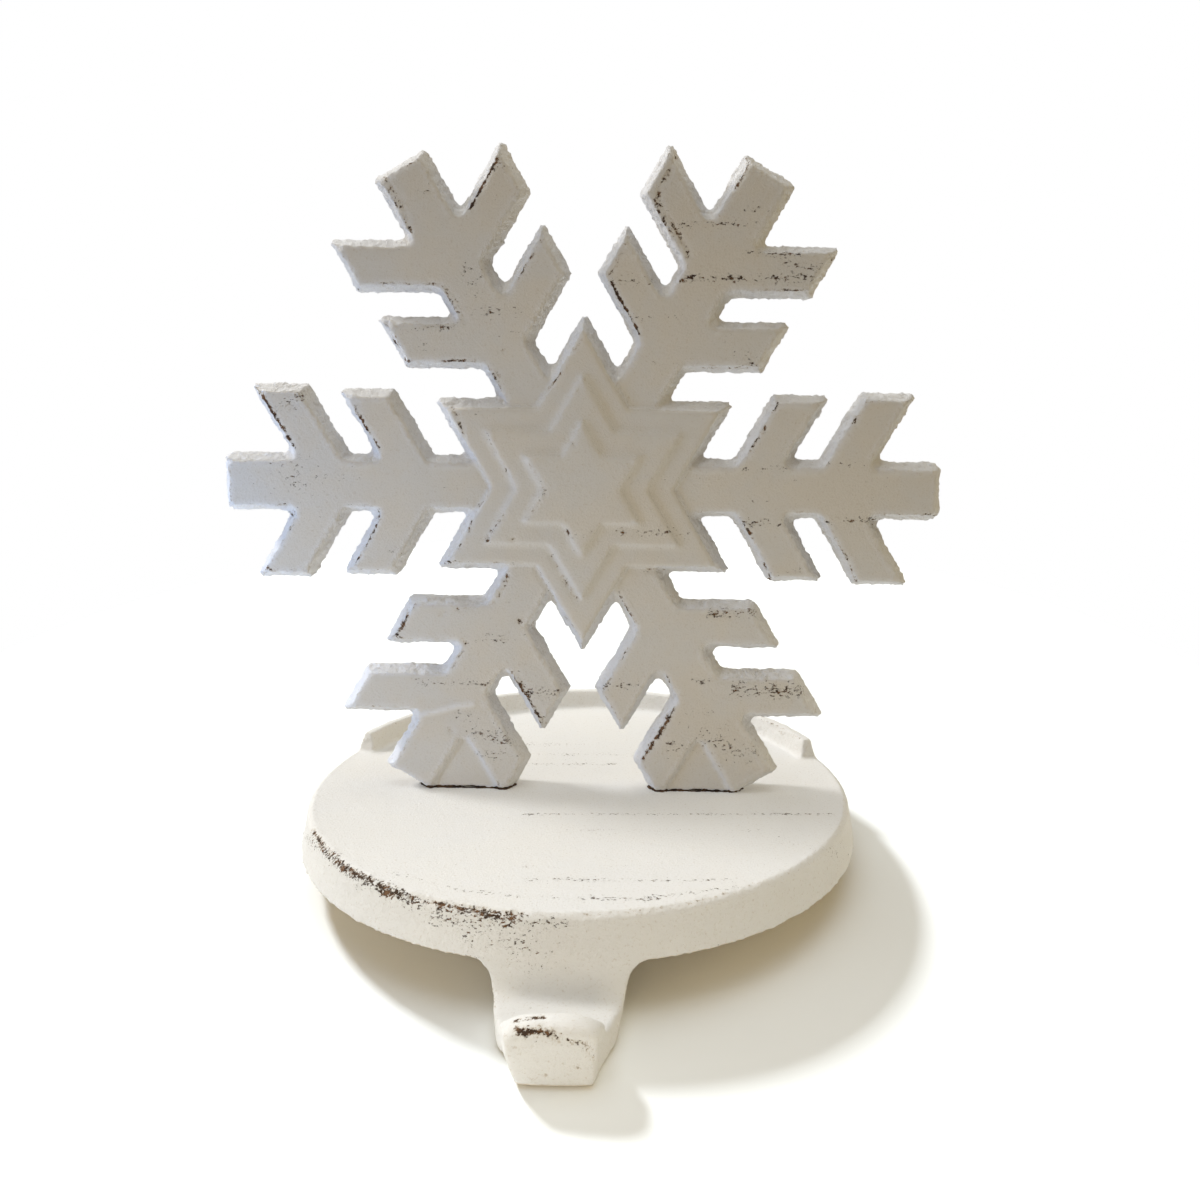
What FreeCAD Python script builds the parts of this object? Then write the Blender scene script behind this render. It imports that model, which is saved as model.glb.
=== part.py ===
import FreeCAD, Part

import os

import Sketcher

# Mantel stocking holder in two iron castings. A round base with a raised lip along its back edge
# and a hook hanging off its front carries an upright snowflake, held by two screws from below.
# Millimetres, +Z up, origin at the centre of the base's flat underside, the hook towards -Y.

V = FreeCAD.Vector

SIZES = [
    # round base
    ("rim_radius", 57.0, "radius of the base's top rim"),
    ("base_height", 8.5, "thickness of the base"),
    ("skirt_run", 1.6, "how far the base's side spreads from rim to foot"),
    ("rim_bevel", 0.8, "worn bevel of the top rim"),
    # raised lip along the back of the base
    ("lip_width", 4.9, "width of the lip at its foot"),
    ("lip_height", 4.2, "height of the lip above the base"),
    ("lip_sweep", 70.5, "angle from the back of the base to each end of the lip"),
    ("lip_draft", 14.0, "slope of the lip's sides and ends"),
    # stocking hook
    ("shank_thickness", 6.0, "thickness of the hook's shank"),
    ("shank_top_half", 12.7, "half of the shank's width at the base's underside"),
    ("shank_low_half", 10.3, "half of the shank's width at the hook's lowest point"),
    ("shank_flare", 4.0, "radius of the flare where the shank leaves the base"),
    ("throat_gap", 11.0, "clear gap between the shank and the upturned tip"),
    ("throat_depth", 5.1, "depth of the throat below the top of the tip"),
    ("throat_round", 2.4, "inside radius of the throat's corners"),
    ("tip_drop", 1.0, "top of the tip below the base's underside"),
    ("tip_thickness", 5.4, "thickness of the upturned tip"),
    ("tip_half", 7.3, "half of the tip's width across its front face"),
    ("tip_round", 1.9, "rounding of the tip's top and of its lower front edge"),
    ("bend_thickness", 5.0, "thickness of the hook below the throat"),
    ("bend_round", 5.5, "outer radius at the back of the bend"),
    # snowflake arms, sized on the front face
    ("half_thickness", 3.4, "parting plane to the front face, and to the back face"),
    ("draft_run", 1.7, "how far a side wall slopes in from the parting plane to a face"),
    ("parting_land", 0.1, "straight band of a side wall on each side of the parting plane"),
    ("arm_reach", 72.5, "centre to the end of an arm"),
    ("stem_half", 4.6, "half of an arm's width"),
    ("branch_angle", 60.0, "angle between a branch and its arm"),
    ("branch_end", 8.6, "length of a branch's cut end"),
    ("end_length", 15.2, "near corner of the outer branch's end to the end of the arm"),
    ("branch_pitch", 17.8, "step along the arm from the inner branch to the outer one"),
    ("outer_spread", 18.7, "arm's centre line to the outer branch's end"),
    ("inner_spread", 18.0, "arm's centre line to the inner branch's end"),
    ("root_round", 1.5, "rounding where a branch leaves its arm"),
    ("root_share", 0.9, "most of the stem between two roots that their roundings may take"),
    ("web_recess", 1.0, "front of the web in each foot behind the front face"),
    ("sole_cut", 1.8, "how much of the lowest corner of a foot's stem is cut flat"),
    # three-tier star over the arms
    ("star_reach", 31.6, "centre to a point of the lowest tier's face"),
    ("middle_reach", 22.6, "centre to a point of the middle tier's face"),
    ("top_reach", 13.3, "centre to a point of the top tier's face"),
    ("tier_rise", 1.1, "step from one tier's face to the next"),
    # screws from below
    ("screw_inset", 11.9, "middle of a foot's end, along X, to its screw's axis"),
    ("screw_back", 0.4, "screw axis behind the snowflake's parting plane"),
    ("screw_diameter", 3.5, "diameter of the screw"),
    ("screw_length", 15.0, "length of the screw from the flat of its head"),
    ("screw_play", 0.25, "clearance round the screw in the base"),
    ("tap_play", 0.05, "clearance round the screw in the foot, its thread not cut"),
    ("tap_spare", 1.5, "tapped hole past the screw's end"),
    ("head_diameter", 7.2, "diameter of the countersunk head"),
    ("head_sink", 0.3, "flat of the head above the base's underside"),
]

doc = FreeCAD.newDocument("stocking_holder")
sheet = doc.addObject("Spreadsheet::Sheet", "Sizes")
for row, (name, value, meaning) in enumerate(SIZES, start=1):
    sheet.set(f"A{row}", meaning)
    sheet.set(f"B{row}", str(value))
    sheet.setAlias(f"B{row}", name)
doc.recompute()

# Distance within which two places count as the same
CLOSE = 1e-3

# Sizes that follow from the cells, as expressions
DRAFT_SLOPE = "(Sizes.draft_run / (Sizes.half_thickness - Sizes.parting_land))"
FOOT_RADIUS = "(Sizes.rim_radius + Sizes.skirt_run)"
SHANK_BACK = f"({FOOT_RADIUS} - Sizes.shank_thickness)"
TIP_BACK = f"({FOOT_RADIUS} + Sizes.throat_gap)"
TIP_FRONT = f"({TIP_BACK} + Sizes.tip_thickness)"
THROAT_FLOOR = "(Sizes.tip_drop + Sizes.throat_depth)"
HOOK_DROP = f"({THROAT_FLOOR} + Sizes.bend_thickness)"
FLARE_HALF = "(Sizes.shank_top_half + 2 * Sizes.shank_flare)"
BRANCH_TURN = "(Sizes.branch_angle * 1 deg)"
BRANCH_WALL = f"(Sizes.draft_run / sin({BRANCH_TURN}))"
STEM_HALF = "(Sizes.stem_half + Sizes.draft_run)"
ARM_END = "(Sizes.arm_reach + Sizes.draft_run)"
OUTER_START = "(Sizes.arm_reach - Sizes.end_length)"
INNER_START = f"({OUTER_START} - Sizes.branch_pitch)"
SPREAD_STEP = "(Sizes.outer_spread - Sizes.inner_spread)"
ROOT_GAP = (
    f"(Sizes.branch_pitch - Sizes.branch_end - 2 * {BRANCH_WALL} - {SPREAD_STEP} / tan({BRANCH_TURN}))"
)
ROOT_ROUND = f"min(Sizes.root_round; Sizes.root_share * {ROOT_GAP} * sin({BRANCH_TURN}) / 2)"
FLAKE_RISE = f"({ARM_END} * cos(30 deg) + {STEM_HALF} * sin(30 deg) - Sizes.sole_cut)"
SCREW_SPREAD = "(Sizes.arm_reach * sin(30 deg) - Sizes.screw_inset)"
SCREW_RADIUS = "(Sizes.screw_diameter / 2)"
HEAD_RADIUS = "(Sizes.head_diameter / 2)"


def value_of(text):
    """Number that an expression gives with the sheet's present values."""
    negative = text.startswith("-")
    answer = sheet.evalExpression(text[1:] if negative else text)
    number = float(getattr(answer, "Value", answer))
    return -number if negative else number


def origin_plane(body, role):
    """One of the body's own origin planes, found by its role."""
    return next(item for item in body.Origin.OriginFeatures if item.Role == role)


def new_body(name):
    return doc.addObject("PartDesign::Body", name)


def new_sketch(body, name, role):
    """Sketch on one of the body's origin planes."""
    sketch = body.newObject("Sketcher::SketchObject", name)
    sketch.AttachmentSupport = [(origin_plane(body, role), "")]
    sketch.MapMode = "FlatFace"
    return sketch


def hold(sketch, label, kind, line, text, value):
    """Named distance from the origin to the start of a line. A minus sign puts it on the other side."""
    if text == "0":
        axis = -2 if kind == "DistanceX" else -1
        sketch.addConstraint(Sketcher.Constraint("PointOnObject", line, 1, axis))
        return {}
    if text.startswith("-"):
        spot = sketch.addConstraint(Sketcher.Constraint(kind, line, 1, -1, 1, -value))
        text = text[1:]
    else:
        spot = sketch.addConstraint(Sketcher.Constraint(kind, -1, 1, line, 1, value))
    sketch.renameConstraint(spot, label)
    return {label: text}


def outline(sketch, corners, rounded=None):
    """Closed outline with every corner held at a pair of expressions, some corners rounded."""
    places = [V(value_of(across), value_of(up), 0) for across, up in corners]
    lines = [
        sketch.addGeometry(Part.LineSegment(start, end))
        for start, end in zip(places, places[1:] + places[:1])
    ]
    for line, following in zip(lines, lines[1:] + lines[:1]):
        sketch.addConstraint(Sketcher.Constraint("Coincident", line, 2, following, 1))
    bound = {}
    for index, (line, place, (across, up)) in enumerate(zip(lines, places, corners)):
        bound.update(hold(sketch, f"corner{index}_across", "DistanceX", line, across, place.x))
        bound.update(hold(sketch, f"corner{index}_up", "DistanceY", line, up, place.y))
    for index, text in (rounded or {}).items():
        radius = value_of(text)
        sketch.fillet(lines[index], 1, radius, True, True)
        arc = sketch.GeometryCount - 1
        while not isinstance(sketch.Geometry[arc], Part.ArcOfCircle):
            arc -= 1
        spot = sketch.addConstraint(Sketcher.Constraint("Radius", arc, radius))
        sketch.renameConstraint(spot, f"round{index}")
        bound[f"round{index}"] = text
    for label, text in bound.items():
        sketch.setExpression(f"Constraints.{label}", text)
    return sketch


def pad(body, name, sketch, front, back=None, slope=None):
    """Pad of a sketch to one side or both, its walls sloping in by a run per unit of height."""
    feature = body.newObject("PartDesign::Pad", name)
    feature.Profile = sketch
    feature.setExpression("Length", front)
    if back:
        feature.SideType = "Two sides"
        feature.setExpression("Length2", back)
    if slope:
        feature.setExpression("TaperAngle", f"-atan({slope})")
        if back:
            feature.setExpression("TaperAngle2", f"-atan({slope})")
    body.Tip = feature
    return feature


def repeat(body, feature, original):
    """Sets a pattern or mirror to repeat one feature, or else the whole shape so far."""
    if original:
        feature.Originals = [original]
    else:
        feature.TransformMode = "Whole shape"
        feature.BaseFeature = body.Tip


def polar_pattern(body, name, sketch, copies, original=None):
    """Copies of a feature, or of all there is, turned evenly about the origin in the sketch's plane."""
    feature = body.newObject("PartDesign::PolarPattern", name)
    repeat(body, feature, original)
    feature.Axis = (sketch, ["N_Axis"])
    feature.Angle = 360
    feature.Occurrences = copies
    body.Tip = feature
    return feature


def revolve(body, name, sketch, angle_text=None):
    """Revolution of a sketch about its upright axis, whole or evenly to both sides of the sketch."""
    feature = body.newObject("PartDesign::Revolution", name)
    feature.Profile = sketch
    feature.ReferenceAxis = (sketch, ["V_Axis"])
    if angle_text:
        feature.Midplane = True
        feature.setExpression("Angle", angle_text)
    else:
        feature.Angle = 360
    body.Tip = feature
    return feature


def edges_where(shape, test):
    """Names of the edges of a shape whose middle passes the test."""
    names = []
    for number, edge in enumerate(shape.Edges, start=1):
        middle = edge.valueAt((edge.FirstParameter + edge.LastParameter) / 2)
        if test(middle, edge):
            names.append(f"Edge{number}")
    return names


def combine(kind, name, shapes):
    """Part boolean of several objects: MultiFuse or MultiCommon."""
    feature = doc.addObject(f"Part::{kind}", name)
    feature.Shapes = shapes
    feature.Refine = True
    return feature


def cut(name, base, tool):
    feature = doc.addObject("Part::Cut", name)
    feature.Base = base
    feature.Tool = tool
    return feature


def mirrored_pair(name, source):
    """The object and its mirror image across the middle plane, as separate solids of one compound."""
    mirror = doc.addObject("Part::Mirroring", name + "_mirror")
    mirror.Source = source
    mirror.Normal = V(1, 0, 0)
    pair = doc.addObject("Part::Compound", name)
    pair.Links = [source, mirror]
    return pair


def make_round_base():
    """Drafted disc with a bevelled rim, and the lip standing along its back."""
    body = new_body("round_base")
    section = outline(
        new_sketch(body, "base_section", "XZ_Plane"),
        [
            ("0", "0"),
            (FOOT_RADIUS, "0"),
            ("Sizes.rim_radius", "Sizes.base_height"),
            ("0", "Sizes.base_height"),
        ],
    )
    disc = revolve(body, "base_disc", section)
    doc.recompute()
    top = value_of("Sizes.base_height")
    rim = body.newObject("PartDesign::Chamfer", "rim")
    rim.Base = (disc, edges_where(disc.Shape, lambda p, e: abs(p.z - top) < CLOSE and e.isClosed()))
    rim.setExpression("Size", "Sizes.rim_bevel")
    body.Tip = rim
    make_lip(body)
    return body


def make_lip(body):
    """Lip: a strip between two arcs, rooted below the rim's bevel, with every wall drafted."""
    sketch = new_sketch(body, "lip_plan", "XY_Plane")
    sketch.setExpression("AttachmentOffset.Base.z", "Sizes.base_height - 2 * Sizes.rim_bevel")
    sweep = FreeCAD.Units.Quantity(value_of("Sizes.lip_sweep"), "deg").getValueAs("rad").Value
    arcs = {}
    for side, text in (("outer", "Sizes.rim_radius"), ("inner", "(Sizes.rim_radius - Sizes.lip_width)")):
        radius = value_of(text)
        circle = Part.Circle(V(0, 0, 0), V(0, 0, 1), radius)
        quarter = FreeCAD.Units.Quantity("90 deg").getValueAs("rad").Value
        arc = sketch.addGeometry(Part.ArcOfCircle(circle, quarter - sweep, quarter + sweep))
        sketch.addConstraint(Sketcher.Constraint("Coincident", arc, 3, -1, 1))
        spot = sketch.addConstraint(Sketcher.Constraint("Radius", arc, radius))
        sketch.renameConstraint(spot, f"{side}_radius")
        end = sketch.Geometry[arc].StartPoint
        spot = sketch.addConstraint(Sketcher.Constraint("DistanceX", -1, 1, arc, 1, end.x))
        sketch.renameConstraint(spot, f"{side}_end")
        sketch.addConstraint(Sketcher.Constraint("Symmetric", arc, 1, arc, 2, -2))
        arcs[side] = (arc, text)
    for position in (1, 2):
        ends = [
            sketch.Geometry[arc].StartPoint if position == 1 else sketch.Geometry[arc].EndPoint
            for arc, _ in arcs.values()
        ]
        line = sketch.addGeometry(Part.LineSegment(*ends))
        sketch.addConstraint(Sketcher.Constraint("Coincident", line, 1, arcs["outer"][0], position))
        sketch.addConstraint(Sketcher.Constraint("Coincident", line, 2, arcs["inner"][0], position))
    for side, (_, text) in arcs.items():
        sketch.setExpression(f"Constraints.{side}_radius", text)
        sketch.setExpression(f"Constraints.{side}_end", f"{text} * sin(Sizes.lip_sweep * 1 deg)")
    slope = "tan(Sizes.lip_draft * 1 deg)"
    return pad(body, "lip", sketch, "Sizes.lip_height + 2 * Sizes.rim_bevel", slope=slope)


def make_hook():
    """Hook: a J section turned about the base's axis, kept within a front and a top outline."""
    section_body = new_body("hook_section_turned")
    section = outline(
        new_sketch(section_body, "hook_section", "YZ_Plane"),
        [
            (f"-{SHANK_BACK}", "(Sizes.base_height / 2)"),
            (f"-{SHANK_BACK}", f"-{HOOK_DROP}"),
            (f"-{TIP_FRONT}", f"-{HOOK_DROP}"),
            (f"-{TIP_FRONT}", "-Sizes.tip_drop"),
            (f"-{TIP_BACK}", "-Sizes.tip_drop"),
            (f"-{TIP_BACK}", f"-{THROAT_FLOOR}"),
            (f"-{FOOT_RADIUS}", f"-{THROAT_FLOOR}"),
            (f"-{FOOT_RADIUS}", "0"),
            ("-(Sizes.rim_radius - Sizes.skirt_run)", "(Sizes.base_height / 2)"),
        ],
        {
            1: "Sizes.bend_round",
            2: "Sizes.tip_round",
            3: "Sizes.tip_round",
            4: "Sizes.tip_round",
            5: "Sizes.throat_round",
            6: "Sizes.throat_round",
        },
    )
    revolve(section_body, "hook_turn", section, f"2 * asin({FLARE_HALF} / {SHANK_BACK})")

    front_body = new_body("hook_front_outline")
    front = outline(
        new_sketch(front_body, "hook_front", "XZ_Plane"),
        [
            (FLARE_HALF, "Sizes.base_height"),
            (FLARE_HALF, "0"),
            ("Sizes.shank_top_half", "0"),
            ("Sizes.shank_low_half", f"-{HOOK_DROP}"),
            ("-Sizes.shank_low_half", f"-{HOOK_DROP}"),
            ("-Sizes.shank_top_half", "0"),
            (f"-{FLARE_HALF}", "0"),
            (f"-{FLARE_HALF}", "Sizes.base_height"),
        ],
        {2: "Sizes.shank_flare", 5: "Sizes.shank_flare"},
    )
    pad(front_body, "hook_front_block", front, f"2 * {TIP_FRONT}")

    top_body = new_body("hook_top_outline")
    throat_half = "((Sizes.shank_top_half + Sizes.shank_low_half) / 2)"
    top = outline(
        new_sketch(top_body, "hook_top", "XY_Plane"),
        [
            (FLARE_HALF, "0"),
            (FLARE_HALF, f"-{FOOT_RADIUS}"),
            (throat_half, f"-{FOOT_RADIUS}"),
            ("Sizes.tip_half", f"-{TIP_FRONT}"),
            ("-Sizes.tip_half", f"-{TIP_FRONT}"),
            (f"-{throat_half}", f"-{FOOT_RADIUS}"),
            (f"-{FLARE_HALF}", f"-{FOOT_RADIUS}"),
            (f"-{FLARE_HALF}", "0"),
        ],
    )
    pad(top_body, "hook_top_block", top, "Sizes.base_height", f"2 * {HOOK_DROP}")
    return combine("MultiCommon", "hook", [section_body, front_body, top_body])


def screw_profile(body, name, play, low, top):
    """Half section of a countersunk screw, or of its bore with play round it."""
    head = f"({HEAD_RADIUS} + {play})"
    stem = f"({SCREW_RADIUS} + {play})"
    neck = f"(Sizes.head_sink + {HEAD_RADIUS} - {SCREW_RADIUS})"
    corners = [("0", low), (head, low)]
    if low != "Sizes.head_sink":
        corners.append((head, "Sizes.head_sink"))
    corners += [(stem, neck), (stem, top), ("0", top)]
    sketch = outline(new_sketch(body, name, "XZ_Plane"), corners)
    revolve(body, name + "_turn", sketch)
    body.setExpression("Placement.Base.x", SCREW_SPREAD)
    body.setExpression("Placement.Base.y", "Sizes.screw_back")
    return body


def make_screws():
    """Two countersunk screws, driven up through the base into the snowflake's feet."""
    screw = screw_profile(
        new_body("screw"), "screw_section", "0", "Sizes.head_sink", "(Sizes.head_sink + Sizes.screw_length)"
    )
    return mirrored_pair("foot_screws", screw)


def make_base_bores():
    """Clearance bores with countersinks, opened past both faces of the base."""
    bore = screw_profile(
        new_body("base_bore"),
        "bore_section",
        "Sizes.screw_play",
        "-Sizes.head_sink",
        "(Sizes.base_height + Sizes.head_sink)",
    )
    return mirrored_pair("base_bores", bore)


def make_tapped_holes():
    """Blind holes in the snowflake's feet for the screws."""
    body = new_body("tapped_hole")
    radius = f"({SCREW_RADIUS} + Sizes.tap_play)"
    low = "(Sizes.base_height - Sizes.head_sink)"
    high = "(Sizes.head_sink + Sizes.screw_length + Sizes.tap_spare)"
    sketch = outline(
        new_sketch(body, "tapped_section", "XZ_Plane"),
        [("0", low), (radius, low), (radius, high), ("0", high)],
    )
    revolve(body, "tapped_turn", sketch)
    body.setExpression("Placement.Base.x", SCREW_SPREAD)
    body.setExpression("Placement.Base.y", "Sizes.screw_back")
    return mirrored_pair("tapped_holes", body)


def branch_corners(start, spread):
    """Root and end corners of one branch at the parting plane, from the centre outwards."""
    end = f"({spread} + Sizes.draft_run)"
    near = f"({start} - {BRANCH_WALL} + ({{height}} - {spread}) / tan({BRANCH_TURN}))"
    far = f"({start} + Sizes.branch_end + {BRANCH_WALL} + ({{height}} - {spread}) / tan({BRANCH_TURN}))"
    return [
        (near.format(height=STEM_HALF), STEM_HALF),
        (near.format(height=end), end),
        (far.format(height=end), end),
        (far.format(height=STEM_HALF), STEM_HALF),
    ]


def make_half_arm(body):
    """Front half of one arm, along X: a drafted stem with two pairs of branches, their roots rounded."""
    upper = [("0", STEM_HALF)]
    upper += branch_corners(INNER_START, "Sizes.inner_spread")
    upper += branch_corners(OUTER_START, "Sizes.outer_spread")
    upper += [(ARM_END, STEM_HALF)]
    lower = [(across, f"-{up}") for across, up in reversed(upper)]
    sketch = outline(new_sketch(body, "arm_outline", "XZ_Plane"), upper + lower)
    half = pad(body, "half_arm", sketch, "Sizes.half_thickness")
    doc.recompute()
    deep, near, far, wide = (
        value_of(text) for text in ("Sizes.half_thickness", "Sizes.draft_run", "Sizes.arm_reach", STEM_HALF)
    )

    def is_front(middle, edge):
        return abs(middle.y + deep) < CLOSE and middle.x > CLOSE

    def is_root(middle, edge):
        half_way = abs(middle.y + deep / 2) < deep / 4
        return half_way and abs(middle.z) < wide and near < middle.x < far

    walls = body.newObject("PartDesign::Chamfer", "drafted_walls")
    walls.Base = (half, edges_where(half.Shape, is_front))
    walls.ChamferType = "Two distances"
    walls.setExpression("Size", "Sizes.half_thickness - Sizes.parting_land")
    walls.setExpression("Size2", "Sizes.draft_run")
    body.Tip = walls
    doc.recompute()
    roots = body.newObject("PartDesign::Fillet", "branch_roots")
    roots.Base = (walls, edges_where(walls.Shape, is_root))
    roots.setExpression("Radius", ROOT_ROUND)
    body.Tip = roots
    return sketch


def mirrored(body, name, role, original=None):
    """Mirror image of a feature, or of all there is, added across one of the body's origin planes."""
    feature = body.newObject("PartDesign::Mirrored", name)
    repeat(body, feature, original)
    feature.MirrorPlane = (origin_plane(body, role), [""])
    body.Tip = feature


def make_arms():
    """Six arms: the front half arm mirrored about the parting plane, then turned in steps of 60."""
    body = new_body("arms_body")
    sketch = make_half_arm(body)
    mirrored(body, "whole_arm", "XZ_Plane")
    doc.recompute()
    polar_pattern(body, "arms", sketch, 6)
    return body


def make_tier(body, name, reach, height, back=None):
    """One tier of the star: two drafted triangles, half a turn apart, up to its own face."""
    point = f"({reach} + 2 * {height} * {DRAFT_SLOPE})"
    side = f"({point} * cos(30 deg))"
    low = f"({point} * sin(30 deg))"
    sketch = outline(
        new_sketch(body, name + "_outline", "XZ_Plane"),
        [("0", point), (f"-{side}", f"-{low}"), (side, f"-{low}")],
    )
    triangle = pad(body, name + "_triangle", sketch, height, back, DRAFT_SLOPE)
    polar_pattern(body, name, sketch, 2, triangle)


def make_star():
    """Star on the middle of the arms, in three tiers that step forward towards its centre."""
    body = new_body("star_body")
    tier = "(Sizes.half_thickness + {steps} * Sizes.tier_rise)"
    make_tier(body, "star", "Sizes.star_reach", tier.format(steps=1), "Sizes.half_thickness")
    make_tier(body, "middle_star", "Sizes.middle_reach", tier.format(steps=2))
    make_tier(body, "top_star", "Sizes.top_reach", tier.format(steps=3))
    return body


def make_foot_webs():
    """Sunk webs between the last branch and the stem's end on the two arms that stand on the base."""
    body = new_body("webs_body")
    sketch = new_sketch(body, "web_outline", "XZ_Plane")
    sketch.AttachmentOffset = FreeCAD.Placement(V(0, 0, 0), FreeCAD.Rotation(V(0, 0, 1), 240))
    end = "(Sizes.arm_reach + Sizes.draft_run / 2)"
    outline(
        sketch,
        [
            (OUTER_START, "0"),
            (end, "0"),
            (end, "Sizes.outer_spread"),
            (f"({OUTER_START} + Sizes.branch_end / 2)", "Sizes.outer_spread"),
            (OUTER_START, "Sizes.stem_half"),
        ],
    )
    web = pad(body, "web", sketch, "Sizes.half_thickness - Sizes.web_recess", "Sizes.half_thickness")
    mirrored(body, "webs", "YZ_Plane", web)
    return body


def make_sole_cut():
    """Everything below the base's top, which cuts the feet flat, with the holes for the screws."""
    block = doc.addObject("Part::Box", "below_the_feet")
    block.setExpression("Length", "4 * Sizes.arm_reach")
    block.setExpression("Width", "4 * Sizes.half_thickness")
    block.setExpression("Height", "Sizes.arm_reach")
    block.setExpression("Placement.Base.x", "-2 * Sizes.arm_reach")
    block.setExpression("Placement.Base.y", "-2 * Sizes.half_thickness")
    block.setExpression("Placement.Base.z", "Sizes.base_height - Sizes.arm_reach")
    return combine("MultiFuse", "sole_cut", [block, make_tapped_holes()])


def make_snowflake():
    """Snowflake's casting blank, centred over the base before its feet are cut."""
    bodies = [make_arms(), make_star(), make_foot_webs()]
    for body in bodies:
        body.setExpression("Placement.Base.z", f"Sizes.base_height + {FLAKE_RISE}")
    return combine("MultiFuse", "snowflake_blank", bodies)


base = combine("MultiFuse", "base_with_hook", [make_round_base(), make_hook()])
nodes = {
    "base_casting": cut("base_casting", base, make_base_bores()),
    "snowflake": cut("snowflake", make_snowflake(), make_sole_cut()),
    "foot_screws": make_screws(),
}
doc.recompute()

for item in doc.Objects:
    if {"Invalid", "Error"} & set(item.State):
        raise RuntimeError(f"{item.Name} failed: {item.State}")

os.makedirs("parts", exist_ok=True)
for name, node in nodes.items():
    node.Label = name
    shape = node.Shape
    if shape.isNull() or not shape.isValid():
        raise RuntimeError(f"{name} has no valid shape")
    box = shape.optimalBoundingBox(True, False)
    print(
        f"{name}: {len(shape.Solids)} solids, {shape.Volume / 1000:.2f} cm3,"
        f" x {box.XMin:.1f} to {box.XMax:.1f}, y {box.YMin:.1f} to {box.YMax:.1f},"
        f" z {box.ZMin:.1f} to {box.ZMax:.1f}"
    )
    shape.exportStep(f"parts/{name}.step")
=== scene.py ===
# %% [markdown]
# The stocking holder is two sand castings in iron: a round base with a hook, and a snowflake that
# stands on it. Both were painted white and rubbed through to brown along their edges. The measured
# solids are already in the frame, so this lesson gives them a cast skin, worn paint and a light.

# %% Load the frame
import math

import bmesh
import bpy
import numpy as np
from mathutils import Matrix, Vector
from mathutils.bvhtree import BVHTree
from mathutils.kdtree import KDTree


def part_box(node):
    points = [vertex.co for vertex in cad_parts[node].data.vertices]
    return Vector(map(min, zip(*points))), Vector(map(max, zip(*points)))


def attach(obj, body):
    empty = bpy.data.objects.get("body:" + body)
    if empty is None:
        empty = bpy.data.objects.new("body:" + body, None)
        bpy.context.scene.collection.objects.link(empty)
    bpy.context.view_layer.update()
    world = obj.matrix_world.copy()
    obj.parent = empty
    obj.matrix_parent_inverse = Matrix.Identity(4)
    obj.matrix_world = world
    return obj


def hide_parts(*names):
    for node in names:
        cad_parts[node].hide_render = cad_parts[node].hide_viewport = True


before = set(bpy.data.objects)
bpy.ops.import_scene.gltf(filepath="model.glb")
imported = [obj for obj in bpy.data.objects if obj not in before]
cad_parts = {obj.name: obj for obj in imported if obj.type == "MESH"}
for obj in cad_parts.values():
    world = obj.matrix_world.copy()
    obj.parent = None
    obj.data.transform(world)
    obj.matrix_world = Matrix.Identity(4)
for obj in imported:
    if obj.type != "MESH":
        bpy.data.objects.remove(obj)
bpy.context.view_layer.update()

MM = 0.001

# %% [markdown]
# The camera stands where the photograph's did, a hand's span in front of the hook and a little
# above the snowflake's middle. Its place and turn were fitted to corners of the castings. The
# picture was cropped off centre, which the lens shift repeats. All pixel places in this lesson are
# in the photograph's own 1200 by 1200 frame.

# %% Camera
SENSOR_WIDTH = 36
PHOTO_SIDE = 1200
FOCAL_PIXELS = 1214
AXIS_PIXEL = (662, 512)
CAMERA_PLACE = Vector((16.1, -249.7, 110.1)) * MM
CAMERA_YAW, CAMERA_PITCH, CAMERA_ROLL = (math.radians(angle) for angle in (0.06, 9.39, -0.93))


def camera_turn(yaw, pitch, roll):
    """Camera axes for a yaw to the right, a pitch down and a roll, from a level look along Y."""
    forward = Vector(
        (math.sin(yaw) * math.cos(pitch), math.cos(yaw) * math.cos(pitch), -math.sin(pitch))
    )
    level = Vector((math.cos(yaw), -math.sin(yaw), 0))
    down = forward.cross(level)
    right = math.cos(roll) * level + math.sin(roll) * down
    up = math.sin(roll) * level - math.cos(roll) * down
    return Matrix((right, up, -forward)).transposed()


bpy.ops.object.select_all(action="DESELECT")
bpy.ops.object.camera_add()
camera = bpy.context.object
camera.name = "photo_camera"
turn = camera_turn(CAMERA_YAW, CAMERA_PITCH, CAMERA_ROLL).to_4x4()
camera.matrix_world = Matrix.Translation(CAMERA_PLACE) @ turn
camera.data.sensor_width = SENSOR_WIDTH
camera.data.lens = FOCAL_PIXELS / PHOTO_SIDE * SENSOR_WIDTH
camera.data.shift_x = (PHOTO_SIDE / 2 - AXIS_PIXEL[0]) / PHOTO_SIDE
camera.data.shift_y = (AXIS_PIXEL[1] - PHOTO_SIDE / 2) / PHOTO_SIDE
camera.data.clip_start = 5 * MM
bpy.context.scene.camera = camera
print("lens, mm:", round(camera.data.lens, 1))

# %% [markdown]
# Shader maths reads best as plain expressions, so a small class wraps a node's output and adds the
# maths nodes when two of them are added, multiplied or compared.


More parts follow.
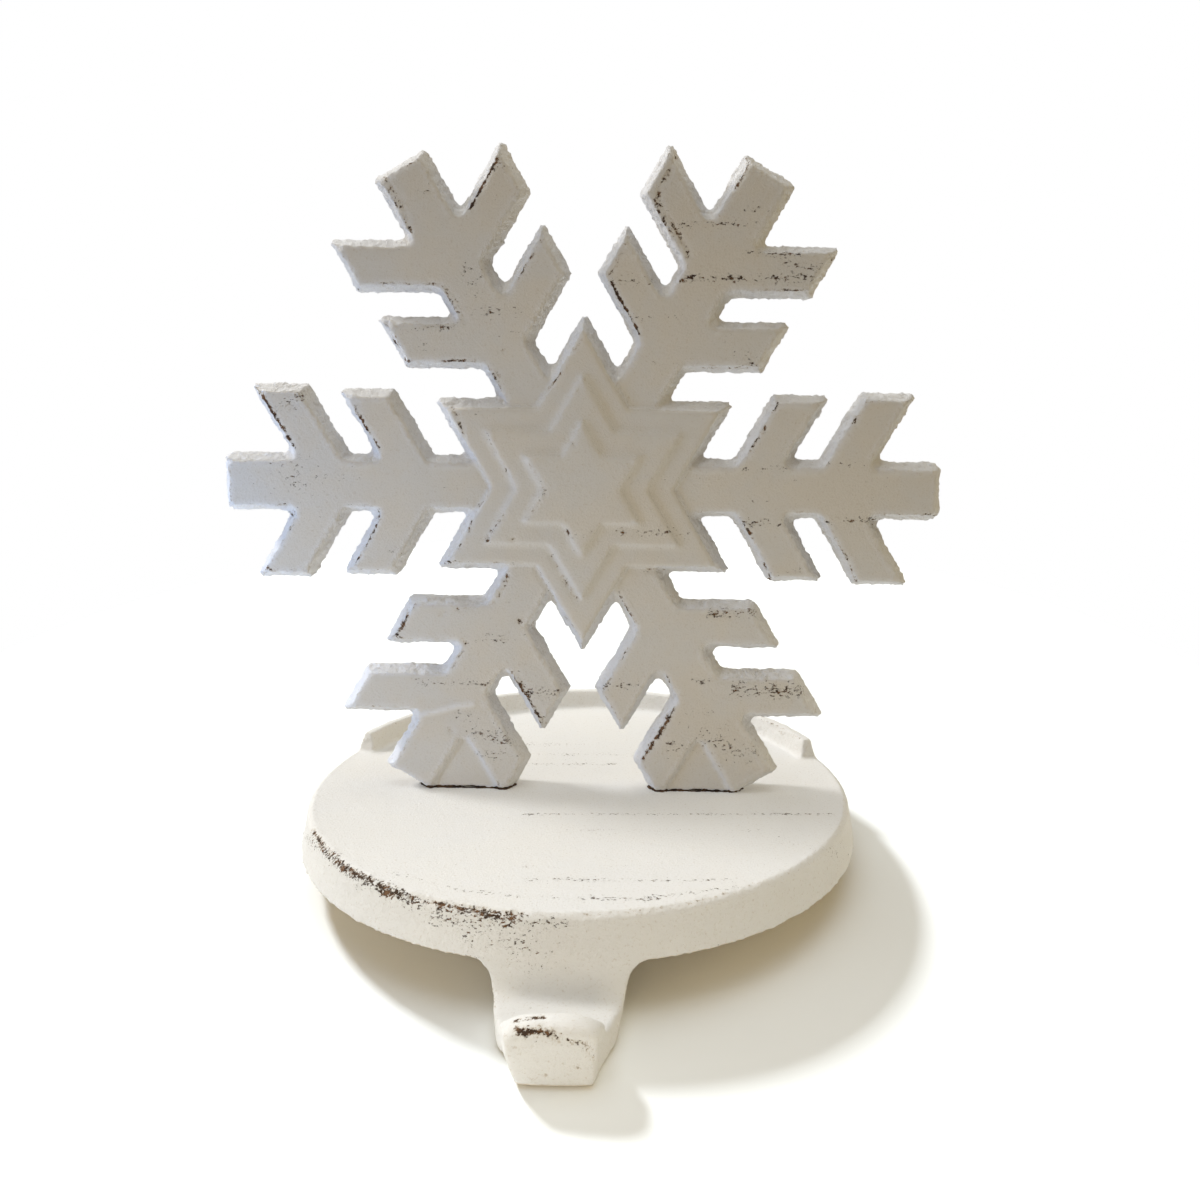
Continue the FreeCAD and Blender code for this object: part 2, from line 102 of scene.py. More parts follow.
# %% Shader helpers
class Graph:
    """Node tree of a material or a world, with one method that adds any node."""

    def __init__(self, owner):
        owner.use_nodes = True
        self.owner = owner
        self.tree = owner.node_tree
        self.tree.nodes.clear()

    def node(self, kind, settings=None, out=0, **inputs):
        """Adds a node, applies its settings, feeds its sockets and returns one output."""
        made = self.tree.nodes.new("ShaderNode" + kind)
        for name, value in (settings or {}).items():
            setattr(made, name, value)
        for name, value in inputs.items():
            key = int(name[1:]) if name[1:].isdigit() else name.replace("_", " ")
            if isinstance(value, Value):
                self.tree.links.new(value.socket, made.inputs[key])
            else:
                made.inputs[key].default_value = value
        return Value(self, made.outputs[out]) if made.outputs else None

    def mix(self, factor, first, second):
        """Colour between two colours."""
        first, second = (c if isinstance(c, Value) else (*c, 1) for c in (first, second))
        return self.node("Mix", {"data_type": "RGBA"}, out=2, _0=factor, _6=first, _7=second)

    def noise(self, place, grain, detail=4.0, roughness=0.6):
        """Noise whose largest grains measure about that length."""
        scale = 1 / grain
        return self.node("TexNoise", Vector=place, Scale=scale, Detail=detail, Roughness=roughness)

    def attribute(self, name):
        """Value that the mesh keeps at its vertices."""
        return self.node("Attribute", {"attribute_name": name}, out="Fac")


class Value:
    """A node's output that takes part in sums, products and comparisons."""

    def __init__(self, graph, socket):
        self.graph = graph
        self.socket = socket

    def maths(self, operation, first, second):
        """Adds a Math node for two values or numbers."""
        return self.graph.node("Math", {"operation": operation}, _0=first, _1=second)

    def __add__(self, other):
        return self.maths("ADD", self, other)

    __radd__ = __add__

    def __sub__(self, other):
        return self.maths("SUBTRACT", self, other)

    def __rsub__(self, other):
        return self.maths("SUBTRACT", other, self)

    def __mul__(self, other):
        return self.maths("MULTIPLY", self, other)

    __rmul__ = __mul__

    def largest(self, other):
        """The greater of two values at each place."""
        return self.maths("MAXIMUM", self, other)

    def step(self, low, high):
        """Smooth rise from 0 at low to 1 at high."""
        settings = {"interpolation_type": "SMOOTHSTEP"}
        return self.graph.node("MapRange", settings, Value=self, From_Min=low, From_Max=high)


# %% [markdown]
# A sand casting has no sharp edge: the mould's grains leave the corners soft and the walls rough.
# Bevels on every edge would still look machined. A voxel remesh of the solid gives one even skin
# instead, with faces about the size of a grain, which can carry roughness anywhere.

# %% Even skin
GRAIN = 0.5 * MM
WELD = 0.002 * MM


def select_only(piece):
    """Leaves one object selected and active."""
    bpy.ops.object.select_all(action="DESELECT")
    piece.select_set(True)
    bpy.context.view_layer.objects.active = piece


def apply_modifier(piece, kind, name, **settings):
    """Adds a modifier with its settings and applies it."""
    select_only(piece)
    made = piece.modifiers.new(name, kind)
    for key, value in settings.items():
        setattr(made, key, value)
    bpy.ops.object.modifier_apply(modifier=made.name)


def even_skin(name, piece_name):
    """Merged copy of a solid, remeshed with faces of one size and its corners softened."""
    piece = bpy.data.objects.new(piece_name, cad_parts[name].data.copy())
    bpy.context.scene.collection.objects.link(piece)
    piece.data.materials.clear()
    select_only(piece)
    bpy.ops.object.mode_set(mode="EDIT")
    bpy.ops.mesh.select_all(action="SELECT")
    bpy.ops.mesh.remove_doubles(threshold=WELD)
    bpy.ops.object.mode_set(mode="OBJECT")
    apply_modifier(piece, "REMESH", "grain", mode="VOXEL", voxel_size=GRAIN, adaptivity=0)
    apply_modifier(piece, "SMOOTH", "soften", factor=0.5, iterations=2)
    bpy.ops.object.shade_smooth()
    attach(piece, "root")
    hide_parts(name)
    print(piece_name, "faces:", len(piece.data.polygons))
    return piece


base = even_skin("base_casting", "cast_base")
snowflake = even_skin("snowflake", "cast_snowflake")

# %% [markdown]
# The paint wore off where hands and boxes rub: along the outer edges. The mesh can say where those
# are. A vertex that stands proud of its neighbours' mean lies on an outward bend, and a search
# tree then gives every other vertex its distance to the nearest bend and the way that bend faces.

# %% Measures of the skin
BEND = 0.041 * MM
EDGE_REACH = 3 * MM


def vertex_array(piece, source, field):
    """Places or normals of the vertices, one row each."""
    values = np.zeros(len(piece.data.vertices) * 3, np.float32)
    getattr(piece.data, source).foreach_get(field, values)
    return values.reshape(-1, 3)


def neighbour_mean(piece, values):
    """Mean of a per-vertex array over each vertex's neighbours."""
    ends = np.zeros(len(piece.data.edges) * 2, np.int32)
    piece.data.edges.foreach_get("vertices", ends)
    first, second = ends.reshape(-1, 2).T
    count = np.bincount(ends, minlength=len(values))
    columns = []
    for column in values.T:
        from_second = np.bincount(first, column[second], len(values))
        from_first = np.bincount(second, column[first], len(values))
        columns.append((from_second + from_first) / count)
    return np.stack(columns, 1)


def store(piece, name, values):
    """Keeps a per-vertex value with the mesh, for the material and the modifiers to read."""
    attribute = piece.data.attributes.new(name, "FLOAT", "POINT")
    attribute.data.foreach_set("value", values.astype(np.float32))


def search_tree(places):
    """Tree that finds the vertex nearest to any place."""
    tree = KDTree(len(places))
    for index, place in enumerate(places):
        tree.insert(place, index)
    tree.balance()
    return tree


def drift_of(piece, places, rounds=1):
    """Way from the mean that many rounds of neighbours away to each vertex."""
    mean = places
    for _ in range(rounds):
        mean = neighbour_mean(piece, mean)
    return places - mean


def edge_distances(piece, places, normals):
    """For each vertex, the distance to the nearest outward bend and that bend's normal."""
    bends = np.flatnonzero((drift_of(piece, places) * normals).sum(1) > BEND)
    tree = search_tree(places[bends])
    found = [tree.find(place)[1:] for place in places]
    nearest = bends[[index for index, gap in found]]
    print(piece.name, "bends:", len(bends), "of", len(places))
    return np.array([gap for index, gap in found]), normals[nearest]


# %% [markdown]
# The points of the arms are blunter than the other edges, because loose sand fills a sharp point
# of the mould first, and stocking loops have rubbed the hook's end round. A point is further from
# the mean of its surroundings than a straight edge is, so what it has more than an edge says how
# far to draw it in. The hook's tip is arched across its top, and its toe reaches a little lower
# and is narrower than the plain solid's. Smoothing modifiers weighted by vertex groups then soften
# the hook's end and the star's low steps, which the paint has filled.

# %% Blunt points, a rubbed hook and a filled star
WEIGHT_LEVELS = 20
ARM_FACE_Y = -3.7 * MM
POINT_ROUNDS = 25
EDGE_DRIFT = 0.78 * MM
BLUNTING = 3.0
HOOK_END_Y = -56 * MM
HOOK_FADE = 4 * MM
TIP_BACK_Y = -68.5 * MM
TIP_ROOT_Z = -6 * MM
TIP_FADE = 5 * MM
TIP_HALF_WIDTH = 7.5 * MM
TIP_DROP = 1.7 * MM
TOE_Y = -65 * MM
TOE_DROP = 1.1 * MM
TOE_NARROWING = 0.17
TOE_SHIFT = 0.6 * MM


def weight_group(piece, name, values):
    """Vertex group that holds a value from 0 to 1, in steps."""
    group = piece.vertex_groups.new(name=name)
    levels = np.round(np.clip(values, 0, 1) * WEIGHT_LEVELS).astype(int)
    for level in range(1, WEIGHT_LEVELS + 1):
        chosen = np.flatnonzero(levels == level)
        if len(chosen):
            group.add(chosen.tolist(), level / WEIGHT_LEVELS, "REPLACE")


def blunt_points(piece):
    """Draws each vertex in by a multiple of what its drift has more than a straight edge's."""
    places = vertex_array(piece, "vertices", "co")
    drift = drift_of(piece, places, POINT_ROUNDS)
    size = np.maximum(np.linalg.norm(drift, axis=1, keepdims=True), 1e-9)
    excess = np.maximum(size - EDGE_DRIFT, 0)
    moved = places - drift / size * excess * BLUNTING
    piece.data.vertices.foreach_set("co", moved.astype(np.float32).ravel())
    piece.data.update()
    furthest = float(excess.max()) * BLUNTING / MM
    print(piece.name, "points drawn in by up to, mm:", round(furthest, 2))
    return excess[:, 0] > 0


def hook_weight(piece):
    """Rises from 0 to 1 towards the hook's end."""
    return (HOOK_END_Y - vertex_array(piece, "vertices", "co")[:, 1]) / HOOK_FADE


def shape_tip(piece):
    """Lowers the hook's tip towards its two sides, and draws its toe down and together."""
    places = vertex_array(piece, "vertices", "co")
    in_tip = np.clip((TIP_BACK_Y - places[:, 1]) / MM, 0, 1)
    upper = np.clip((places[:, 2] - TIP_ROOT_Z) / TIP_FADE, 0, 1)
    lower = np.clip((TIP_ROOT_Z - places[:, 2]) / TIP_FADE, 0, 1)
    toe = lower * np.clip((TOE_Y - places[:, 1]) / TIP_FADE, 0, 1)
    arch = TIP_DROP * in_tip * upper * np.abs(places[:, 0] / TIP_HALF_WIDTH) ** 3
    places[:, 2] -= arch + TOE_DROP * toe
    places[:, 0] += (TOE_SHIFT - places[:, 0] * TOE_NARROWING) * toe
    piece.data.vertices.foreach_set("co", places.ravel())
    piece.data.update()
    print("vertices of the tip moved:", int((in_tip * upper + toe > 0).sum()))


weight_group(snowflake, "points", blunt_points(snowflake))
apply_modifier(snowflake, "SMOOTH", "blunt", factor=0.5, iterations=4, vertex_group="points")
weight_group(snowflake, "star", vertex_array(snowflake, "vertices", "co")[:, 1] < ARM_FACE_Y)
apply_modifier(snowflake, "SMOOTH", "filled", factor=0.5, iterations=8, vertex_group="star")
shape_tip(base)
weight_group(base, "hook_end", hook_weight(base))
apply_modifier(base, "SMOOTH", "rubbed", factor=0.5, iterations=9, vertex_group="hook_end")

# %% [markdown]
# Some wear is not general: it is a chip or a row of pits that anyone would know this casting by.
# Each mark is a line of places in the photograph, with how bare it is and half its width in
# millimetres. A ray from the camera through each place finds the spot on the casting that it lies
# on.

# %% Marks of the snowflake
SNOWFLAKE_CHIPS = (
    # upper left arm
    (0.9, 0.5, (385, 175), (391, 188), (397, 199), (404, 211), (411, 230)),
    (1.0, 0.9, (397, 199), (399, 203)),
    (0.6, 0.4, (386, 174), (404, 166), (423, 156)),
    (1.0, 0.6, (498, 159), (490, 171), (483, 184), (475, 197), (470, 206)),
    (0.6, 0.4, (380, 284), (441, 284)),
    (0.7, 0.5, (447, 288), (455, 300), (464, 320)),
    (1.0, 0.5, (386, 326), (393, 341), (405, 360)),
    (0.5, 0.4, (405, 363), (487, 361)),
    (0.8, 0.45, (542, 237), (529, 260), (516, 279)),
    (0.9, 0.5, (497, 374), (499, 376)),
    (0.7, 0.3, (494, 351), (505, 349)),
    # upper right arm
    (0.8, 0.5, (628, 241), (618, 259), (609, 278), (620, 300), (631, 319), (637, 331)),
    (0.9, 0.6, (677, 156), (668, 172), (659, 189), (657, 198)),
    (1.0, 0.5, (657, 198), (665, 214), (674, 226), (684, 244), (689, 257)),
    (1.0, 0.7, (690, 277), (681, 282)),
    (0.9, 0.5, (749, 158), (744, 173), (735, 188)),
    (0.9, 0.6, (829, 254), (836, 262)),
    (0.6, 0.4, (784, 291), (813, 292)),
    (0.8, 0.4, (703, 369), (762, 369)),
    # left arm
    (0.9, 0.5, (257, 386), (267, 402), (275, 415), (285, 432), (294, 446)),
    (0.6, 0.7, (303, 395), (301, 398)),
    (0.6, 0.6, (295, 404), (293, 406)),
    (0.9, 0.45, (355, 404), (361, 418), (372, 436), (379, 449)),
    (0.9, 0.7, (293, 513), (291, 515)),
    (0.7, 0.4, (285, 526), (281, 533)),
    (1.0, 0.6, (379, 511), (377, 518)),
    (0.8, 0.5, (376, 524), (371, 534), (364, 546)),
    (1.0, 0.8, (358, 556), (354, 560)),
    (0.5, 0.4, (265, 568), (311, 568)),
    (0.7, 0.4, (353, 570), (394, 571)),
    # lower left arm and foot
    (1.0, 0.9, (413, 602), (406, 616), (398, 632)),
    (0.9, 0.5, (443, 613), (445, 612)),
    (0.8, 0.4, (456, 609), (475, 607)),
    (0.9, 0.4, (490, 606), (499, 597), (505, 584), (508, 576)),
    (0.9, 0.5, (464, 643), (467, 644)),
    (0.8, 0.45, (463, 651), (457, 660), (453, 666)),
    (0.8, 0.5, (516, 672), (524, 686), (532, 700), (546, 725)),
    (0.9, 0.5, (450, 730), (452, 731)),
    (1.0, 0.9, (521, 622), (523, 624)),
    (0.9, 0.7, (534, 624), (535, 627)),
    # lower right arm and foot
    (0.9, 0.45, (627, 648), (619, 662)),
    (0.9, 0.5, (610, 676), (604, 687)),
    (0.9, 0.45, (598, 697), (607, 713), (617, 728)),
    (0.8, 0.5, (666, 678), (668, 685), (673, 695)),
    (1.0, 1.0, (668, 714), (660, 730), (652, 743), (642, 757)),
    (0.9, 0.5, (713, 614), (716, 614)),
    (0.8, 0.4, (745, 645), (766, 645)),
    (0.6, 0.3, (765, 719), (790, 717)),
    # right arm
    (1.0, 0.6, (777, 401), (773, 408)),
    (0.9, 0.5, (765, 426), (762, 432)),
    (0.5, 0.4, (762, 432), (751, 450)),
    (0.8, 0.5, (866, 402), (872, 402)),
    (1.0, 0.6, (857, 418), (854, 424)),
    (0.5, 0.4, (849, 434), (841, 446)),
    (0.8, 0.5, (749, 529), (751, 533)),
    (0.9, 0.5, (763, 564), (771, 582), (816, 581)),
    (0.9, 0.5, (846, 558), (851, 571), (857, 585), (899, 586)),
    (0.8, 0.45, (897, 518), (936, 517)),
    # star
    (0.9, 0.45, (582, 340), (570, 354)),
    (1.0, 0.5, (559, 373), (549, 389)),
    (0.8, 0.4, (584, 379), (578, 390)),
    (0.9, 0.5, (453, 405), (458, 420), (464, 436)),
    (0.7, 0.4, (472, 452), (484, 477), (488, 485)),
    (0.8, 0.45, (483, 500), (475, 512)),
    (1.0, 0.7, (471, 521), (467, 531)),
    (1.0, 0.6, (459, 546), (458, 548)),
    (0.7, 0.4, (450, 562), (522, 564)),
    (0.8, 0.45, (536, 569), (545, 584), (555, 603)),
    (1.0, 0.5, (565, 619), (574, 631)),
    (0.9, 0.4, (485, 434), (495, 452)),
    (0.9, 0.45, (500, 462), (508, 474)),
    (1.0, 0.6, (502, 515), (491, 531), (484, 542)),
    (0.8, 0.6, (512, 539), (514, 541)),
    (0.8, 0.45, (551, 556), (557, 566)),
    (0.9, 0.5, (563, 577), (577, 599)),
    (0.8, 0.4, (529, 465), (540, 481), (545, 495)),
    (0.7, 0.5, (538, 502), (529, 516)),
    (1.0, 0.7, (565, 530), (571, 536)),
    (0.9, 0.6, (571, 441), (573, 443)),
    (0.7, 0.4, (646, 570), (715, 570)),
)
SNOWFLAKE_PITS = (
    (0.8, 1.0, (405, 330), (455, 326)),
    (0.6, 1.5, (408, 345), (428, 350)),
    (0.6, 2.0, (470, 265), (478, 290)),
    (0.7, 1.2, (474, 312), (516, 308)),
    (0.4, 1.0, (417, 195), (434, 189)),
    (0.5, 1.0, (490, 168), (515, 168)),
    (0.9, 0.7, (682, 223), (755, 223)),
    (0.7, 0.6, (743, 209), (778, 211)),
    (0.9, 0.7, (744, 253), (800, 253)),
    (0.5, 0.6, (690, 254), (707, 254)),
    (0.6, 1.0, (784, 264), (820, 269)),
    (1.0, 0.9, (689, 278), (810, 278)),
    (0.8, 0.6, (633, 318), (685, 317)),
    (0.6, 0.6, (652, 363), (680, 363)),
    (0.7, 1.2, (617, 280), (652, 279)),
    (0.5, 1.5, (727, 340), (752, 360)),
    (0.5, 1.5, (280, 403), (303, 394)),
    (0.5, 4.0, (265, 480), (345, 480)),
    (0.6, 1.0, (385, 551), (402, 551)),
    (1.0, 0.9, (620, 532), (672, 531)),
    (0.7, 0.7, (576, 534), (590, 534)),
    (0.5, 1.0, (608, 479), (685, 477)),
    (0.6, 1.0, (674, 541), (695, 527)),
    (0.5, 1.2, (480, 412), (500, 411)),
    (0.9, 0.6, (743, 470), (785, 469)),
    (0.8, 0.6, (832, 465), (865, 464)),
    (0.6, 0.6, (788, 481), (804, 480)),
    (0.7, 0.6, (732, 502), (770, 502)),
    (1.0, 0.8, (744, 523), (784, 522)),
    (1.0, 0.7, (828, 521), (874, 520)),
    (0.6, 1.2, (770, 575), (800, 570)),
    (0.6, 1.2, (475, 640), (528, 639)),
    (0.9, 0.9, (417, 682), (488, 683)),
    (0.8, 1.0, (527, 691), (562, 691)),
    (0.7, 1.6, (459, 714), (476, 716)),
    (0.9, 1.4, (472, 733), (510, 741)),
    (0.8, 0.9, (476, 754), (519, 755)),
    (1.0, 1.3, (711, 614), (755, 612)),
    (0.9, 0.8, (695, 681), (707, 681)),
    (1.0, 1.6, (736, 688), (800, 693)),
    (0.8, 1.0, (604, 686), (640, 685)),
    (0.8, 1.4, (669, 746), (686, 746)),
    (0.8, 2.5, (703, 740), (745, 752)),
    (0.6, 0.6, (674, 712), (720, 712)),
)
# The crease stands proud and also takes a lighter colour, which is a painted highlight.
SNOWFLAKE_CREASES = (
    (1.0, 0.5, (404, 720), (421, 715), (440, 711), (458, 706), (473, 704)),
)
print("snowflake:", len(SNOWFLAKE_CHIPS), "chips,", len(SNOWFLAKE_PITS), "rows of pits")

# %% [markdown]
# The base is worn most at the front left of its rim, where the paint is off in a long chip, and on
# the hook's upturned tip, which every stocking loop rubs.

# %% Marks of the base
BASE_CHIPS = (
    # rim, from the left round to the front
    (1.0, 0.6, (312, 830), (326, 850), (343, 866), (357, 874), (371, 881)),
    (1.0, 1.0, (380, 888), (386, 893)),
    (0.9, 0.7, (390, 893), (402, 894)),
    (0.9, 0.5, (410, 897), (440, 904), (468, 910)),
    (0.8, 0.6, (468, 909), (495, 912), (521, 914)),
    (0.5, 0.5, (575, 916), (650, 910), (700, 900), (755, 883)),
    (0.6, 0.4, (771, 726), (785, 735), (805, 738)),
    # hook
    (1.0, 0.5, (512, 1021), (525, 1018), (545, 1017)),
    (1.0, 0.9, (517, 1030), (530, 1033), (543, 1031)),
    (1.0, 0.8, (551, 1035), (560, 1038)),
    (0.9, 0.4, (561, 1036), (570, 1042), (576, 1044)),
    (0.9, 0.5, (581, 1042), (588, 1050), (596, 1061)),
    (0.8, 0.5, (576, 1067), (578, 1069)),
    (0.7, 0.4, (587, 1066), (589, 1068)),
    (0.7, 0.4, (540, 1076), (546, 1076)),
)
BASE_PITS = (
    (0.9, 0.5, (525, 814), (836, 814)),
    (0.6, 0.5, (560, 830), (760, 830)),
    (0.5, 0.4, (420, 862), (560, 868), (760, 860)),
    (0.7, 1.0, (528, 880), (736, 880)),
    (0.7, 0.9, (540, 897), (640, 900), (736, 886)),
    (0.6, 0.9, (390, 872), (450, 888), (530, 898)),
    (0.7, 0.7, (521, 764), (614, 764)),
    (0.6, 0.9, (522, 744), (600, 744)),
    (0.7, 0.9, (524, 754), (640, 755)),
    (0.8, 1.5, (436, 920), (560, 925)),
    (1.0, 1.0, (440, 909), (530, 922)),
    (0.9, 1.3, (300, 832), (345, 872), (420, 905)),
    (0.6, 3.0, (470, 935), (540, 950)),
    (0.4, 2.5, (780, 840), (848, 860)),
)
print("base:", len(BASE_CHIPS), "chips,", len(BASE_PITS), "rows of pits")

# %% Marks laid on a casting
MARK_STEP = 1.5


def photo_ray(pixel):
    """Direction from the camera through a pixel of the photograph."""
    right = (pixel[0] - AXIS_PIXEL[0]) / FOCAL_PIXELS
    up = (AXIS_PIXEL[1] - pixel[1]) / FOCAL_PIXELS
    return (turn.to_3x3() @ Vector((right, up, -1))).normalized()


def pixels_along(line):
    """Places along a line of pixels, a step apart."""
    for start, end in zip(line, line[1:]):
        count = max(1, round(math.dist(start, end) / MARK_STEP))
        for index in range(count + 1):
            yield Vector(start).lerp(Vector(end), index / count)


def lay_marks(piece, places, tree, marks):
    """How strongly marks cover each vertex, falling to 0 at twice their half width."""
    skin = BVHTree.FromObject(piece, bpy.context.evaluated_depsgraph_get())
    cover = np.zeros(len(places))
    for strength, half_width, *line in marks:
        reach = 2 * half_width * MM
        for pixel in pixels_along(line):
            spot = skin.ray_cast(CAMERA_PLACE, photo_ray(pixel))[0]
            if spot:
                for place, index, gap in tree.find_range(spot, reach):
                    cover[index] = max(cover[index], strength * (1 - gap / reach))
    return cover


# %% [markdown]
# How worn an edge is follows from the way it faces: the left and lower edges of this casting have
# lost more paint than the others. The sides of the casting, unlike its faces, kept the sand's
# roughness. Where the two castings meet, a dark line of bare iron is painted as shade in the gap
# between them, so each keeps how near the other one is.

# %% Wear and roughness kept with the mesh
LIP_FOOT = 8.9 * MM
JOINT_REACH = 0.7 * MM
ROUGH_EDGE = 1.2 * MM
EDGE_ROUGHNESS = 0.4


def worn_by_side(bends):
    """General wear of an edge from its normal: most on the left, then below."""
    return np.clip(0.35 - 0.80 * bends[:, 0] - 0.45 * bends[:, 2], 0, 1)


def worn_by_height(bends):
    """General wear of the base's edges: the rim and the hook, more on the left and in front."""
    return np.clip(0.30 - 0.35 * bends[:, 0] - 0.15 * bends[:, 1], 0, 1)


def snowflake_side(places, normals):
    """1 on the sides, 0 on the faces; the star's low steps before the arms are nearly smooth."""
    star = places[:, 1] < ARM_FACE_Y
    return np.clip(1.15 - 1.25 * np.abs(normals[:, 1]) ** 4, 0, 1) * np.where(star, 0.3, 1)


def base_side(places, normals):
    """The lip's sides and ends are rough, and the skirt and the hook less so."""
    lip = places[:, 2] > LIP_FOOT
    return np.clip(1.0 - np.abs(normals[:, 2]) ** 2, 0, 1) * np.where(lip, 0.5, 0.35)


def nearness(places, other):
    """1 where a vertex touches the other casting, 0 from a small reach away."""
    skin = BVHTree.FromObject(other, bpy.context.evaluated_depsgraph_get())
    found = (skin.find_nearest(Vector(place), JOINT_REACH)[3] for place in places)
    return np.array([0 if gap is None else 1 - gap / JOINT_REACH for gap in found])


def measure(piece, other, wear_of, side_of, chips, pits, creases=(), bare_under=0):
    """Stores the worn edges, the marks and the rough sides of a casting."""
    places = vertex_array(piece, "vertices", "co")
    normals = vertex_array(piece, "vertex_normals", "vector")
    tree = search_tree(places)
    gaps, bends = edge_distances(piece, places, normals)
    rough_edge = EDGE_ROUGHNESS * (1 - gaps / ROUGH_EDGE)
    store(piece, "edge_gap", np.minimum(gaps, EDGE_REACH) / MM)
    store(piece, "edge_wear", wear_of(bends))
    store(piece, "chips", lay_marks(piece, places, tree, chips))
    store(piece, "pits", lay_marks(piece, places, tree, pits))
    store(piece, "creases", lay_marks(piece, places, tree, creases))
    store(piece, "joint", nearness(places, other))
    store(piece, "under", np.clip(-2 * normals[:, 2] - 1, 0, 1) * bare_under)
    # side also gives the sides and edges their lighter colour, which is painted light on the
    # snowflake
    store(piece, "side", np.maximum(side_of(places, neighbour_mean(piece, normals)), rough_edge))


measure(
    snowflake, base, worn_by_side, snowflake_side, SNOWFLAKE_CHIPS, SNOWFLAKE_PITS,
    SNOWFLAKE_CREASES
)
measure(base, snowflake, worn_by_height, base_side, BASE_CHIPS, BASE_PITS, bare_under=1)

# %% [markdown]
# The roughness is real shape, because it makes the outlines ragged. Displace modifiers move the
# skin in and out by cloud textures, weighted by a vertex group, mostly inwards, so that the
# casting keeps its size. A coarse one gives the waviness of a hand-rammed mould, a fine one its
# lumps, and a third sinks the chips. A crease stands proud, with no texture. Each casting then
# gives up some faces, to stay light enough to export: first those of the base's plain underside
# and of the snowflake's plain back, and none at the marks.

# %% Rough sides and chips
FACE_LIMIT = 195000
FLAT_TURN = 0.97
FLAT_FIRST = 20
FACE_ROUGHNESS = 0.08
SINK_DEPTH = 0.55 * MM
CREASE_HEIGHT = 0.45 * MM


def read(piece, name):
    """Per-vertex value that was stored under a name."""
    values = np.zeros(len(piece.data.vertices), np.float32)
    piece.data.attributes[name].data.foreach_get("value", values)
    return values


def roughen(piece, name, group, depth, grain, detail=2, level=0.7, contrast=1.6):
    """Moves the skin by clouds of a grain: out where they pass the level, and in elsewhere."""
    clouds = bpy.data.textures.new(name, "CLOUDS")
    clouds.noise_scale = grain
    clouds.noise_depth = detail
    clouds.contrast = contrast
    apply_modifier(
        piece, "DISPLACE", name, texture=clouds, texture_coords="LOCAL", strength=depth,
        mid_level=level, vertex_group=group
    )


def roughen_casting(piece):
    """Waves, lumps, sunk chips and raised creases, each under its own vertex group."""
    weight_group(piece, "sides", np.maximum(read(piece, "side"), FACE_ROUGHNESS))
    weight_group(piece, "chipped", read(piece, "chips"))
    weight_group(piece, "creased", read(piece, "creases"))
    roughen(piece, "wavy", "sides", depth=0.4 * MM, grain=4.0 * MM)
    roughen(piece, "lumpy", "sides", depth=0.55 * MM, grain=0.8 * MM, detail=3)
    roughen(piece, "sunk", "chipped", depth=SINK_DEPTH, grain=1.0 * MM, level=1.0, contrast=1.0)
    apply_modifier(
        piece, "DISPLACE", "crease", strength=CREASE_HEIGHT, mid_level=0, vertex_group="creased"
    )


def lighten(piece, flat):
    """Takes faces out, the flat side's first and none at the marks, until few enough are left."""
    marked = sum(read(piece, name) for name in ("chips", "pits", "creases")) > 0
    weight_group(piece, "flat", np.where(flat, 1, 1 / WEIGHT_LEVELS) * ~marked)
    ratio = FACE_LIMIT / (2 * len(piece.data.polygons))
    apply_modifier(
        piece, "DECIMATE", "lighten", ratio=min(1, ratio), vertex_group="flat",
        vertex_group_factor=FLAT_FIRST
    )
    print(piece.name, "faces after:", len(piece.data.polygons))


for casting, axis, away in ((base, 2, -1), (snowflake, 1, 1)):
    roughen_casting(casting)
    normals = neighbour_mean(casting, vertex_array(casting, "vertex_normals", "vector"))
    lighten(casting, normals[:, axis] * away > FLAT_TURN)
    low, high = (Vector(corner) / MM for corner in (casting.bound_box[0], casting.bound_box[6]))
    print(casting.name, "now spans, mm:", [round(v, 1) for v in (*low, *high)])

# %% [markdown]
# Two countersunk screws hold the snowflake from below. Only their heads show, in the base's
# underside, but each is modelled whole: a lathe-like outline of rings, a thread pressed into the
# shank, and a cross recess cut by a tapered cutter.

# %% Screw sizes, from the frame
screws_low, screws_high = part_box("foot_screws")
HEAD_RADIUS = (screws_high.y - screws_low.y) / 2
SCREW_Y = (screws_high.y + screws_low.y) / 2
SCREW_X = screws_high.x - HEAD_RADIUS
SHANK_RADIUS = 1.75 * MM
THREAD_DEPTH = 0.42 * MM
THREAD_PITCH = 1.1 * MM
PLAIN_SHANK = 2.5 * MM
SHANK_RINGS = 64
HEAD_RIM = 0.12 * MM
POINT_LENGTH = 0.6 * MM
POINT_SHARE = 0.55
RECESS_DEPTH = 1.9 * MM
RECESS_SPAN = 4.0 * MM
RECESS_SLOT = 0.85 * MM
RECESS_TURN = 0.35
print("screws at, mm:", [round(value / MM, 2) for value in (SCREW_X, SCREW_Y)])
print("head radius, mm:", round(HEAD_RADIUS / MM, 2))


# %% One screw, then its copy
def shape_ring(radius, height):
    """Extrudes the selected ring, or the face on it, and sets its radius and height."""
    bpy.ops.mesh.extrude_region_move()
    mesh = bmesh.from_edit_mesh(bpy.context.object.data)
    for vertex in (v for v in mesh.verts if v.select):
        flat = vertex.co.xy.normalized() * radius
        vertex.co = (flat.x, flat.y, height)
    bmesh.update_edit_mesh(bpy.context.object.data)


def press_thread(piece, low, high):
    """Sinks a helix into the shank: each vertex by its height less its share of the turn."""
    for vertex in piece.data.vertices:
        if low < vertex.co.z < high:
            rise = (vertex.co.z - low) / THREAD_PITCH
            turns = rise - math.atan2(vertex.co.y, vertex.co.x) / math.tau
            groove = abs(2 * (turns % 1) - 1)
            fade = min(1, rise, (high - vertex.co.z) / (2 * THREAD_PITCH) + 0.3)
            radius = SHANK_RADIUS - THREAD_DEPTH * (1 - (1 - groove) * fade)
            vertex.co.xy = vertex.co.xy.normalized() * radius


